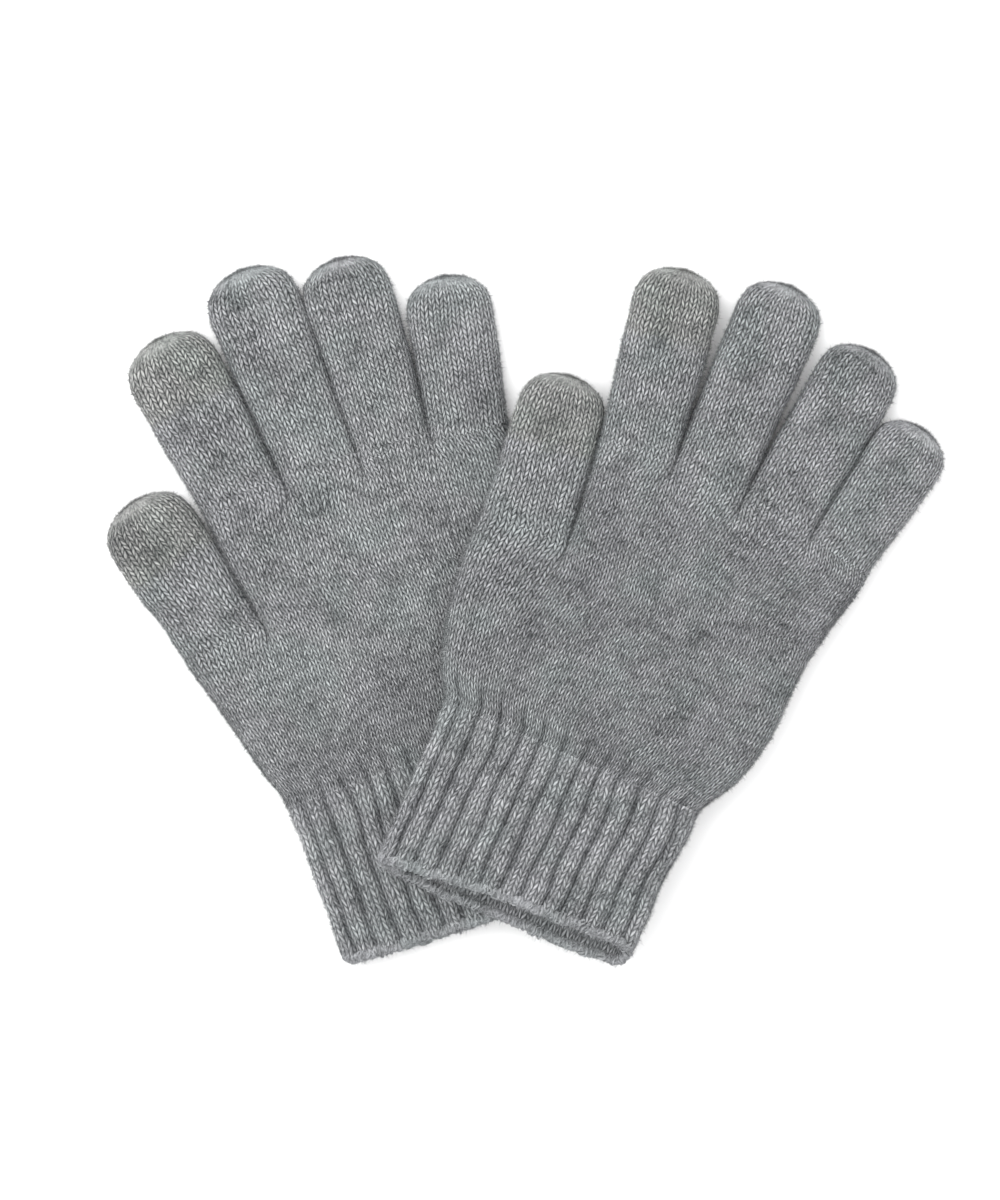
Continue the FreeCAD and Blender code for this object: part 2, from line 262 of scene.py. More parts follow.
def normals(points):
    """Outward normal at each point of a grid that closes on itself across its columns."""
    across = np.roll(points, -1, 1) - np.roll(points, 1, 1)
    along = np.gradient(points, axis=0)
    n = np.cross(across, along)
    return n / np.maximum(np.linalg.norm(n, axis=2, keepdims=True), 1e-9)


def knit(points, u, v, seed, relief=RELIEF, rib=None, level=0.0):
    """Grid with its stitches raised out of it, the painted shade of each point in the rib grooves and its
    knit coordinates.

    level, 0 to 1, is where the stitches level out so that two grids meet without a slit.
    """
    uu, vv = loosen(*np.meshgrid(u, v), seed)
    height = stitch_relief(uu, vv, seed + 4) * relief
    deep = np.zeros_like(uu)
    if rib is not None:
        share, strength = rib
        share = share + 0.008 * wander(share * 20, points[..., 1], 77, 2.0, 9.0)
        phase = np.abs(2 * np.mod(share * RIBS, 1.0) - 1)
        crown = np.sqrt(np.clip(1 - (phase / 0.99) ** 2.1, 0, 1))
        # The painted shade in the grooves between the ribs; the same share flattens the stitches there.
        deep = smooth((phase - 0.50) / 0.46) * strength
        height = height * (1 - 0.6 * deep) + RIB_RELIEF * (crown - 0.78) * strength
    height = height + 0.35 * relief * wander(uu, vv, seed + 9, 9.0, 8.0)
    height = height + (0.5 * RELIEF - height) * level
    return points + normals(points) * height[..., None], deep, np.stack([uu, vv], 2)


# ---- mesh pieces ---------------------------------------------------------------------------------
class Cloth:
    """Vertices and faces gathered for one piece, with the knit coordinates, painted shade and stitch blur of
    each.
    """

    def __init__(self):
        self.points, self.faces, self.uvs, self.deep, self.touch = [], [], [], [], []
        self.count = 0

    def add(self, points, faces, uvs, deep, touch):
        self.points.append(points)
        self.faces.append(faces + self.count)
        self.uvs.append(uvs)
        self.deep.append(deep)
        self.touch.append(touch)
        self.count += len(points)

    def grid(self, points, place, deep, touch, flip=False):
        """A grid closed across its columns. place is the knit coordinates of its points."""
        rows, cols = points.shape[:2]
        index = np.arange(rows * cols).reshape(rows, cols)
        beside = np.roll(index, -1, 1)
        faces = np.stack([index[:-1], beside[:-1], beside[1:], index[1:]], 2).reshape(-1, 4)
        ahead = np.concatenate([place[:, 1:], 2 * place[:, -1:] - place[:, -2:-1]], 1)
        uvs = np.stack([place[:-1], ahead[:-1], ahead[1:], place[1:]], 2).reshape(-1, 4, 2)
        if flip:
            faces, uvs = faces[:, ::-1], uvs[:, ::-1]
        self.add(points.reshape(-1, 3), faces, uvs, deep.reshape(-1), touch.reshape(-1))

    def fuzz(self, points, outward, count, length, touch_of, deep_of, bias=None):
        """Loose fibres that stand off the surface."""
        pick = RANDOM.choice(len(points), count, p=bias)
        root, out = points[pick], outward[pick]
        lean = RANDOM.normal(size=(count, 3))
        way = out * RANDOM.uniform(0.2, 1.0, (count, 1)) + lean * 0.55
        way /= np.linalg.norm(way, axis=1, keepdims=True)
        bend = RANDOM.normal(size=(count, 3)) * 1.1
        size = RANDOM.uniform(0.5, 1.0, (count, 1)) * length
        side = np.cross(way, np.array([0.0, 0.0, 1.0]) + 0.3 * RANDOM.normal(size=(count, 3)))
        side /= np.maximum(np.linalg.norm(side, axis=1, keepdims=True), 1e-6)
        wide = RANDOM.uniform(0.035, 0.07, (count, 1))
        root = root - out * 0.15
        middle = root + way * size * 0.5
        tip = root + way * size * 0.8 + bend * size * 0.35
        corners = [
            root - side * wide,
            root + side * wide,
            middle + side * wide * 0.8,
            middle - side * wide * 0.8,
            tip,
        ]
        fibres = np.stack(corners, 1)
        base = np.arange(count)[:, None] * 5
        quads = base + np.array([0, 1, 2, 3])
        tris = base + np.array([3, 2, 4, 4])
        faces = np.concatenate([quads, tris])
        shade = RANDOM.uniform(0, 40, (count, 1, 2)) * np.ones((1, 4, 1))
        uvs = np.concatenate([shade, shade])
        self.add(
            fibres.reshape(-1, 3),
            faces,
            uvs,
            # Each fibre takes three tenths of the painted shade where it roots.
            np.repeat(deep_of[pick] * 0.3, 5),
            np.repeat(touch_of[pick], 5),
        )

    def build(self, name, to_row, material):
        points = to_row(np.concatenate(self.points))
        points[:, 2] = np.maximum(points[:, 2], 0.0)
        faces = np.concatenate(self.faces)
        uvs = np.concatenate(self.uvs)
        triangle = faces[:, 2] == faces[:, 3]
        sizes = np.where(triangle, 3, 4)
        keep = np.ones(faces.shape, bool)
        keep[triangle, 3] = False
        mesh = bpy.data.meshes.new(name)
        mesh.vertices.add(len(points))
        mesh.vertices.foreach_set("co", points.astype(np.float32).ravel())
        mesh.loops.add(int(sizes.sum()))
        mesh.loops.foreach_set("vertex_index", faces[keep].astype(np.int32))
        mesh.polygons.add(len(faces))
        starts = np.concatenate([[0], np.cumsum(sizes)[:-1]])
        mesh.polygons.foreach_set("loop_start", starts.astype(np.int32))
        mesh.update(calc_edges=True)
        layer = mesh.uv_layers.new(name="knit")
        layer.data.foreach_set("uv", uvs[keep].astype(np.float32).ravel())
        for label, values in (("deep", self.deep), ("touch", self.touch)):
            attribute = mesh.attributes.new(label, "FLOAT", "POINT")
            attribute.data.foreach_set("value", np.concatenate(values).astype(np.float32))
        mesh.polygons.foreach_set("use_smooth", np.ones(len(faces), bool))
        mesh.validate()
        mesh.materials.append(material)
        obj = bpy.data.objects.new(name, mesh)
        bpy.context.scene.collection.objects.link(obj)
        return obj


def yarn(cloth, path, radius, sides=8, twist=0.22, lay=2.0, closed=False, seed=0, deep=0.0, touch=0.0):
    """A twisted yarn along a path of points, two plies wound round each other."""
    path = np.asarray(path, float)
    ahead = np.roll(path, -1, 0) - np.roll(path, 1, 0) if closed else np.gradient(path, axis=0)
    ahead /= np.maximum(np.linalg.norm(ahead, axis=1, keepdims=True), 1e-9)
    steep = np.abs(ahead[:, 2:3]) > 0.8
    up = np.where(steep, np.array([[1.0, 0.0, 0.0]]), np.array([[0.0, 0.0, 1.0]]))
    side = np.cross(ahead, up)
    side /= np.maximum(np.linalg.norm(side, axis=1, keepdims=True), 1e-9)
    up = np.cross(side, ahead)
    step = np.linalg.norm(np.diff(path, axis=0), axis=1)
    far = np.concatenate([[0.0], np.cumsum(step)])
    angle = np.arange(sides) * 2 * math.pi / sides
    wound = angle[None, :] * 2 + (far[:, None] / lay) * 2 * math.pi + seed
    reach = radius * (1 + twist * np.cos(wound))
    points = path[:, None] + reach[..., None] * (
        np.cos(angle)[None, :, None] * side[:, None] + np.sin(angle)[None, :, None] * up[:, None]
    )
    if closed:
        points = np.concatenate([points, points[:1]])
        far = np.concatenate([far, [far[-1] + 1.0]])
    u = np.arange(sides) * 2.0 / sides
    flat = np.zeros(points.shape[:2])
    place = np.stack(np.meshgrid(u, far / COURSE), 2)
    cloth.grid(points, place, flat + deep, flat + touch, flip=True)
    if not closed:
        for end, row in ((0, 0), (1, len(points) - 1)):
            close(cloth, points[row], end == 0, far[row] / COURSE, deep, touch)


def close(cloth, loop, backwards, v, deep, touch):
    """A fan over an open end."""
    n = len(loop)
    points = np.concatenate([loop, loop.mean(0, keepdims=True)])
    i = np.arange(n)
    j = np.roll(i, -1)
    hub = np.full(n, n)
    edge = (i, j) if backwards else (j, i)
    faces = np.stack([*edge, hub, hub], 1)
    uvs = np.zeros((n, 4, 2))
    uvs[..., 0] = (i / 6.0)[:, None]
    uvs[..., 1] = v
    cloth.add(points, faces, uvs, np.full(n + 1, float(deep)), np.full(n + 1, float(touch)))


# ---- materials -----------------------------------------------------------------------------------
def nodes_of(name):
    material = bpy.data.materials.new(name)
    material.use_nodes = True
    tree = material.node_tree
    tree.nodes.clear()
    return material, tree


def yarn_material(name, dark, light, gap_shade_strength, slant=SLANT, knitted=True):
    """Melange yarn: light and dark fibres, painted shade in the stitch gaps and recesses, a soft sheen and
    fine lint.
    """
    material, tree = nodes_of(name)
    new, link = tree.nodes.new, tree.links.new

    def math_node(kind, a, b=None):
        node = new("ShaderNodeMath")
        node.operation = kind
        for socket, value in zip(node.inputs, (a, b)):
            if value is None:
                continue
            if isinstance(value, (int, float)):
                socket.default_value = value
            else:
                link(value, socket)
        return node.outputs[0]

    def noise(vector, scale, detail=2.0, rough=0.5):
        node = new("ShaderNodeTexNoise")
        node.inputs["Scale"].default_value = scale
        node.inputs["Detail"].default_value = detail
        node.inputs["Roughness"].default_value = rough
        link(vector, node.inputs["Vector"])
        return node.outputs["Fac"]

    def spread(value, low, high, to_low, to_high):
        node = new("ShaderNodeMapRange")
        limits = {"From Min": low, "From Max": high, "To Min": to_low, "To Max": to_high}
        for socket, number in limits.items():
            node.inputs[socket].default_value = number
        link(value, node.inputs["Value"])
        return node.outputs["Result"]

    def mix(kind, share, a, b):
        node = new("ShaderNodeMix")
        node.data_type = "RGBA"
        node.blend_type = kind
        for label, value in (("Factor", share), ("A", a), ("B", b)):
            socket = node.inputs[label]
            if isinstance(value, (int, float, tuple)):
                socket.default_value = value
            else:
                link(value, socket)
        return node.outputs["Result"]

    uv = new("ShaderNodeUVMap")
    uv.uv_map = "knit"
    parts = new("ShaderNodeSeparateXYZ")
    link(uv.outputs["UV"], parts.inputs[0])
    u, v = parts.outputs["X"], parts.outputs["Y"]
    place = new("ShaderNodeTexCoord").outputs["Object"]
    deep = new("ShaderNodeAttribute")
    deep.attribute_name = "deep"
    touch = new("ShaderNodeAttribute")
    touch.attribute_name = "touch"

    # Fibres lie along the legs of the stitches.
    shifted = math_node("ADD", u, 0.5)
    doubled = math_node("MULTIPLY", math_node("FRACT", shifted), 2.0)
    across = math_node("ABSOLUTE", math_node("SUBTRACT", doubled, 1.0))
    climb = math_node("SUBTRACT", v, math_node("MULTIPLY", across, slant))
    fibre_place = new("ShaderNodeCombineXYZ")
    link(math_node("MULTIPLY", u, 0.65), fibre_place.inputs[0])
    link(math_node("MULTIPLY", climb, 1.35), fibre_place.inputs[1])
    fibres = noise(fibre_place.outputs[0], 2.6, 4.0, 0.7)
    streak_place = new("ShaderNodeCombineXYZ")
    link(math_node("MULTIPLY", u, 0.28), streak_place.inputs[0])
    link(math_node("MULTIPLY", v, 0.80), streak_place.inputs[1])
    streaks = noise(streak_place.outputs[0], 1.0, 3.0, 0.6)
    leg_place = new("ShaderNodeCombineXYZ")
    link(math_node("FLOOR", math_node("MULTIPLY", shifted, 2.0)), leg_place.inputs[0])
    link(math_node("FLOOR", climb), leg_place.inputs[1])
    each_leg = new("ShaderNodeTexWhiteNoise")
    link(leg_place.outputs[0], each_leg.inputs["Vector"])
    each_leg = each_leg.outputs["Value"]
    lint = noise(place, 1400.0, 3.0, 0.8)
    cloud = noise(place, 70.0, 2.0, 0.5)
    tint = noise(place, 60.0, 1.0, 0.5)

    # Stitches blur where the wales run together at a fingertip: the painted shade attribute goes below 0
    # there.
    clear = spread(deep.outputs["Fac"], -1.0, 0.0, 0.0, 1.0)

    # Height across and along a stitch, at full detail.
    turn = math_node("FRACT", climb)
    turned = math_node("SUBTRACT", math_node("MULTIPLY", turn, 2.0), 1.0)
    bead = math_node("SUBTRACT", 1.0, math_node("MULTIPLY", turned, turned))
    side = math_node("SUBTRACT", math_node("MULTIPLY", across, 2.0), 1.0)
    leg = math_node("SUBTRACT", 1.0, math_node("POWER", math_node("ABSOLUTE", side), 3.0))
    height = math_node("MULTIPLY", leg, math_node("POWER", bead, 0.5))

    ramp = new("ShaderNodeValToRGB")
    ramp.color_ramp.elements[0].position = 0.395
    ramp.color_ramp.elements[0].color = (*dark, 1.0)
    ramp.color_ramp.elements[1].position = 0.625
    ramp.color_ramp.elements[1].color = (*light, 1.0)
    blend = math_node("ADD", math_node("MULTIPLY", fibres, 0.40), math_node("MULTIPLY", streaks, 0.15))
    blend = math_node("ADD", blend, math_node("MULTIPLY", lint, 0.27))
    blend = math_node("ADD", blend, math_node("MULTIPLY", cloud, 0.11))
    blend = math_node("ADD", blend, math_node("MULTIPLY", each_leg, 0.07))
    link(blend, ramp.inputs[0])
    colour = ramp.outputs[0]
    colour = mix("MULTIPLY", spread(tint, 0.48, 0.66, 0.0, 0.4), colour, (0.90, 1.0, 0.97, 1.0))
    colour = mix("MULTIPLY", spread(tint, 0.52, 0.34, 0.0, 0.3), colour, (0.98, 0.95, 1.0, 1.0))
    colour = mix("MULTIPLY", touch.outputs["Fac"], colour, (1.06, 1.05, 0.99, 1.0))
    if knitted:
        # Painted shade in the gaps between the stitch legs, uneven from leg to leg; where the stitches blur
        # at a fingertip an even painted shade takes its place.
        gap_shade_noise = math_node("ADD", math_node("MULTIPLY", each_leg, 0.5), math_node("MULTIPLY", lint, 1.0))
        uneven = spread(gap_shade_noise, 0.4, 1.0, 0.70, 1.12)
        painted_gap_shade = math_node("MULTIPLY", spread(height, 0.24, 0.96, gap_shade_strength, 0.0), uneven)
        blurred_gap_shade = spread(deep.outputs["Fac"], -1.0, 0.0, 0.24, 0.0)
        painted_gap_shade = math_node("ADD", math_node("MULTIPLY", painted_gap_shade, clear), blurred_gap_shade)
        colour = mix("MULTIPLY", painted_gap_shade, colour, (0.04, 0.044, 0.048, 1.0))
    # Painted shade in the rib grooves, on the sides of fingers that face a neighbour, inside the cuff and
    # over the upper glove's palm, towards this grey.
    painted_shade = math_node("MULTIPLY", deep.outputs["Fac"], 0.55)
    colour = mix("MULTIPLY", painted_shade, colour, (0.30, 0.31, 0.32, 1.0))

    shader = new("ShaderNodeBsdfPrincipled")
    shader.inputs["Roughness"].default_value = 0.92
    shader.inputs["Specular IOR Level"].default_value = 0.22
    shader.inputs["Sheen Weight"].default_value = 0.12
    shader.inputs["Sheen Roughness"].default_value = 0.6
    shader.inputs["Sheen Tint"].default_value = (0.9, 0.92, 0.95, 1.0)
    link(colour, shader.inputs["Base Color"])
    bumps = new("ShaderNodeBump")
    bumps.inputs["Strength"].default_value = 0.75
    bumps.inputs["Distance"].default_value = 0.00022
    raised = math_node("ADD", math_node("MULTIPLY", fibres, 0.9), math_node("MULTIPLY", lint, 0.5))
    if knitted:
        stitched = math_node("ADD", raised, math_node("MULTIPLY", height, 0.8))
        raised = math_node("MULTIPLY", stitched, clear)
    link(raised, bumps.inputs["Height"])
    link(bumps.outputs["Normal"], shader.inputs["Normal"])
    out = new("ShaderNodeOutputMaterial")
    link(shader.outputs[0], out.inputs["Surface"])
    return material


# The last number given to each knitted yarn is the strength of its painted shade in the stitch gaps.
MELANGE = yarn_material("melange_knit", (0.031, 0.034, 0.036), (0.54, 0.55, 0.56), 0.97)
CONDUCTIVE = yarn_material("conductive_knit", (0.031, 0.034, 0.036), (0.49, 0.50, 0.51), 0.97)
RIB = yarn_material("rib_knit", (0.036, 0.039, 0.042), (0.55, 0.56, 0.57), 0.86)
OVERLOCK = yarn_material("overlock_yarn", (0.050, 0.054, 0.057), (0.46, 0.47, 0.48), 0.3, knitted=False)
CLOSING = yarn_material("closing_yarn", (0.07, 0.076, 0.08), (0.42, 0.43, 0.44), 0.3, knitted=False)
ELASTIC = yarn_material("elastic_yarn", (0.20, 0.21, 0.22), (0.62, 0.62, 0.61), 0.2, knitted=False)


# ---- one glove -----------------------------------------------------------------------------------
def placement(glove):
    turn = Matrix.Rotation(math.radians(glove["turn"]), 4, "Z")
    azimuth = math.radians(SLOPE_AZIMUTH)
    hinge = Vector((-math.sin(azimuth), math.cos(azimuth), 0.0))
    tip = Matrix.Rotation(math.radians(glove["tilt"]), 4, hinge)
    return Matrix.Translation(Vector(glove["origin"])) @ tip @ turn


def to_row(matrix):
    turn = np.array(matrix, float)

    def moved(points):
        return (points @ turn[:3, :3].T + turn[:3, 3]) * MM

    return moved


def palm_rows(glove, start, end, count):
    """Lower part of the palm, with the thumb, from the wrist to the thumb's root."""
    columns = (10 * PALM_WALES + 2) * WALE_VERTS
    rows = []
    for share in np.linspace(0.0, 1.0, count):
        y = start + (end - start) * share
        left, right = float(curve(glove["left"], y)), float(curve(glove["right"], y))
        crotch = left + (right - left) * 0.2
        crotch = crotch + (glove["inner"][0][1] - crotch) * smooth(share)
        pinch = float(smooth((share - 0.80) / 0.20)) ** 1.4
        thick = PALM_THICK + (CUFF_THICK - CUFF_TAPER - PALM_THICK) * (1 - float(smooth(share * 6)))
        wales = (PALM_WALES, 4 * PALM_WALES)
        held = float(smooth(share))
        rows.append(ring((left, crotch, right), wales, pinch, (0.0, 0.0), thick, held, columns))
    return np.array(rows)


def hand_rows(glove, start, count):
    """Upper part of the palm, from the thumb's root to the four knuckles."""
    columns = (8 * PALM_WALES + 2) * WALE_VERTS
    top = float(np.mean(glove["knuckles"]))
    rows = []
    for share in np.linspace(0.0, 1.0, count):
        y = start + (top - start) * share
        left, right = float(curve(glove["inner"], y)), float(curve(glove["right"], y))
        floor = EDGE_OPENING * float(1 - smooth(share / 0.22))
        pinch = float(smooth((share - 0.70) / 0.30)) ** 1.4
        even = [left + (right - left) * k / 4.0 for k in (1, 2, 3)]
        crotches = [e + (c - e) * float(smooth(share)) for e, c in zip(even, glove["crotch_x"])]
        held = max(float(smooth(share)), float(1 - smooth(share / 0.25)))
        breaks = (left, *crotches, right)
        thick = PALM_THICK - 0.4 * share
        rows.append(ring(breaks, (PALM_WALES,) * 4, pinch, (floor, 0.0), thick, held, columns))
    return np.array(rows)


def along_u(values, u, faces):
    """A value for each column from values at equal steps across the face, the same on both faces."""
    fold = np.where(u <= faces + 1, u, 2 * faces + 2 - u)
    share = np.clip((fold - 0.5) / faces, 0, 1)
    return np.interp(share, np.linspace(0, 1, len(values)), values)


def lower_palm(glove):
    """Knit from the cuff to the thumb's root, its smooth base, painted shade and knit coordinates."""
    thumb_left, thumb_right = glove["thumb_row"]
    count = LOW_COURSES * COURSE_VERTS + 1
    half_way = 5 * PALM_WALES + 1
    u = np.arange(2 * half_way * WALE_VERTS) / WALE_VERTS
    v = np.linspace(0, float(LOW_COURSES), count) - LOW_COURSES
    flat = palm_rows(glove, PALM_START, (thumb_left + thumb_right) / 2.0, count)
    fold = np.where(u <= half_way, u, 2 * half_way - u)
    end_y = thumb_left + (thumb_right - thumb_left) * smooth(fold / (PALM_WALES + 0.5))
    share = np.linspace(0, 1, count)
    y = PALM_START + (end_y[None, :] - PALM_START) * share[:, None]
    base = np.stack([flat[..., 0], y, flat[..., 1]], 2)

    # The ribs of the cuff run on into the palm and fade there.
    face_share = fold / half_way
    rise = glove["rib_rise"] * (1 - face_share) ** 2
    fade = 0.86 * (1 - smooth((y - rise + 0.5) / 11.0)) + 0.14 * (1 - smooth(y / 45.0))
    ribs = (np.broadcast_to(face_share, y.shape), 0.8 * fade)
    level = (1 - smooth((1 - share[:, None]) * 40.0)) * (fold < PALM_WALES + 1)
    grid, deep, place = knit(base, u, v, 11, rib=ribs, level=level)
    # Painted shade over this part of the palm, as much as the glove's shade value.
    deep = np.clip(deep + glove["shade"], 0, 1)
    tuck = normals(base) * (-0.9 * (1 - smooth((y - PALM_START) / 2.0)))[..., None]
    return grid + tuck, base, deep, place


def upper_palm(glove):
    """Knit from the thumb's root to the knuckles, with the same four results."""
    thumb_right = glove["thumb_row"][1]
    count = HIGH_COURSES * COURSE_VERTS + 1
    columns = (8 * PALM_WALES + 2) * WALE_VERTS
    u = np.arange(columns) / WALE_VERTS
    v = np.linspace(0, float(HIGH_COURSES), count)
    flat = hand_rows(glove, thumb_right, count)
    top_y = along_u(glove["knuckles"], u, 4 * PALM_WALES)
    share = np.linspace(0, 1, count)[:, None]
    y = thumb_right + (top_y[None, :] - thumb_right) * share
    base = np.stack([flat[..., 0], y, flat[..., 1]], 2)
    grid, deep, place = knit(base, u, v, 12, level=1 - smooth((1 - share) * 25.0))
    # Painted shade over the lower half of this part of the palm, fading out towards the knuckles.
    deep = deep + glove["shade"] * (1 - smooth((share - 0.5) / 0.5))
    return grid, base, deep, place


def make_palm(glove):
    cloth = Cloth()
    halves = (lower_palm(glove), upper_palm(glove))
    for grid, _, deep, place in halves:
        cloth.grid(grid, place, deep, np.zeros_like(deep))
    for grid, base, deep, _ in halves:
        out = normals(base).reshape(-1, 3)
        spots = grid.reshape(-1, 3)
        nothing = np.zeros(len(spots))
        rim = np.clip(1.1 - np.abs(out[:, 2]), 0.1, 1.0) ** 2 * (spots[:, 2] > 0.8)
        cloth.fuzz(spots, out, PALM_FIBRES, 1.7, nothing, deep.reshape(-1), rim / rim.sum())
    return cloth


def finger_path(glove, finger):
    """Root edges and pad of a finger, in the glove's frame."""
    index = FINGERS.index(finger)
    if finger == "thumb":
        left = float(curve(glove["left"], glove["thumb_row"][0]))
        right = glove["inner"][0][1]
        y = glove["thumb_row"]
    else:
        edges = (
            float(curve(glove["inner"], 999.0)),
            *glove["crotch_x"],
            float(curve(glove["right"], float(np.mean(glove["knuckles"])))),
        )
        left, right = edges[index - 1], edges[index]
        y = glove["knuckles"][index - 1:index + 1]
    return left, right, y


def finger_grid(glove, finger):
    """The whole finger as rows of points, with how far along it each row lies."""
    left, right, (y_left, y_right) = finger_path(glove, finger)
    pad_x, pad_y, width = glove["pads"][finger]
    root = np.array([(left + right) / 2.0, (y_left + y_right) / 2.0])
    pad = np.array([pad_x, pad_y])
    straight = float(np.linalg.norm(pad - root))
    direction = (pad - root) / straight
    lean = math.atan2(direction[0], direction[1])
    cap = width * 0.5
    columns = (2 * FINGER_WALES + 2) * WALE_VERTS
    step = COURSE / COURSE_VERTS
    body = np.arange(0.0, straight, step)
    angles = [0.0]
    while angles[-1] < math.radians(89.0):
        angles.append(angles[-1] + step / cap * (1.0 if angles[-1] < 1.2 else 0.75))
    angles = np.clip(np.array(angles), 0, math.radians(89.5))
    ends = straight + cap * np.sin(angles)
    along = np.concatenate([body[body < straight - step * 0.5], ends])
    turn_from = BASE_SHARE * BASE_LENGTH[finger]
    outer_left = finger in ("thumb", "index")
    outer_right = finger == "little"
    u = np.arange(columns) / WALE_VERTS
    grid = []
    v = [0.0]
    last = None
    droop = glove["droop"].get(finger, 0.0)
    total = straight + cap
    for a in along:
        t = min(a / straight, 1.0)
        half = (right - left) / 2.0 * (1 - t) + width / 2.0 * t
        half = half + 0.1 * math.sin(math.pi * t)
        squeeze = 1.0
        if a > straight:
            c = min((a - straight) / cap, 1.0)
            half = half * max(1.0 - c ** TIP_BLUNTNESS, 0.0) ** (1.0 / TIP_BLUNTNESS)
            squeeze = max(1.0 - c ** 3.2, 0.0) ** 0.5
        thick = max(FINGER_THICK * (0.12 + 0.88 * squeeze), 0.6)
        low = (FINGER_THICK - thick) * UNDER
        joined = EDGE_OPENING * float(1 - smooth(a / 7.0))
        floors = (0.0 if outer_left else joined, 0.0 if outer_right else joined)
        held = float(1 - smooth(a / 12.0))
        rounding = min(EDGE_ROUND, half * 0.9)
        breaks = (-half, half)
        wales = (FINGER_WALES,)
        section = ring(breaks, wales, 0.0, floors, thick, held, columns, low, rounding)
        turned = lean * float(smooth((a - turn_from) / 12.0))
        tilt_row = math.atan2(y_right - y_left, right - left) * float(1 - smooth(a / 10.0))
        angle = -turned + tilt_row
        centre = root + direction * a
        x = centre[0] + section[:, 0] * math.cos(angle)
        y = centre[1] + section[:, 0] * math.sin(angle)
        z = section[:, 1] - droop * (a / total) ** 2.2
        row = np.stack([x, y, z], 1)
        if last is not None:
            middle = len(row) // 4
            edge = np.linalg.norm(row - last, axis=1)
            v.append(v[-1] + float(np.mean(edge[[middle, 0]])) / COURSE)
        grid.append(row)
        last = row
    return np.array(grid), u, np.array(v), along, total


def pieces_of_finger(glove, finger, seed):
    """Base, end and touch tip of a finger, as cloths that share their end rows."""
    grid, u, v, along, total = finger_grid(glove, finger)
    touched = finger in TOUCH_FINGERS
    start = total - TOUCH_LENGTH
    wide = along[:, None] + 0.9 * wander(u[None, :], v[:, None], seed + 20, 1.2, 1.0)
    touch = smooth((wide - (start - 2.6)) / 5.2) if touched else np.zeros_like(wide)
    near_end = smooth((along - total + 6.0) / 5.5)[:, None]
    level = 1 - smooth(along[:, None] / 1.6)
    raised, deep, place = knit(grid, u, v, seed, relief=RELIEF * (1 - near_end), level=level)
    out = normals(grid)
    # Painted shade on a finger's steep sides that face a neighbour, fading out towards the tip; the end of
    # the finger goes below 0, where its stitches blur.
    steep = np.clip(1.15 - 1.3 * np.abs(out[..., 2]), 0, 1)
    beside = np.ones_like(u)
    round_trip = 2 * FINGER_WALES + 2
    if finger in ("thumb", "index"):
        beside = smooth((np.minimum(u, round_trip - u) - 0.5) / 3.0)
    if finger == "little":
        beside = smooth((np.abs(u - round_trip / 2.0) - 0.5) / 3.0)
    shade_between_fingers = (1 - smooth((along / total - 0.45) / 0.4))[:, None] * steep * beside
    deep = np.maximum(deep, 1.5 * shade_between_fingers) - near_end
    back = grid[0] - grid[3]
    back *= ROOT_TUCK / np.linalg.norm(back, axis=1, keepdims=True)
    tucked = grid[0] + back - out[0] * 0.6
    raised = np.concatenate([tucked[None], raised])
    place = np.concatenate([place[:1] - np.array([0.0, ROOT_TUCK / COURSE]), place])
    deep, touch, out = (np.concatenate([values[:1], values]) for values in (deep, touch, out))
    along = np.concatenate([[-ROOT_TUCK], along])
    cut = int(np.searchsorted(along, BASE_SHARE * BASE_LENGTH[finger]))
    stops = [0, cut, len(along) - 1]
    if touched:
        stops.insert(2, int(np.searchsorted(along, start)))
    cloths = []
    for first, last in zip(stops[:-1], stops[1:]):
        cloth = Cloth()
        rows = slice(first, last + 1)
        cloth.grid(raised[rows], place[rows], deep[rows], touch[rows])
        spots, face = raised[rows].reshape(-1, 3), out[rows].reshape(-1, 3)
        rim = np.clip(1.1 - np.abs(face[:, 2]), 0.1, 1.0) ** 2 * (spots[:, 2] > -2.0)
        number = int(FINGER_FIBRES * (along[last] - along[first]))
        warm, painted_shade = touch[rows].reshape(-1), deep[rows].reshape(-1)
        cloth.fuzz(spots, face, number, 1.6, warm, painted_shade, rim / rim.sum())
        cloths.append(cloth)
    close(cloths[-1], raised[-1], False, v[-1], -1.0, 1.0 if touched else 0.0)
    return cloths, grid, total


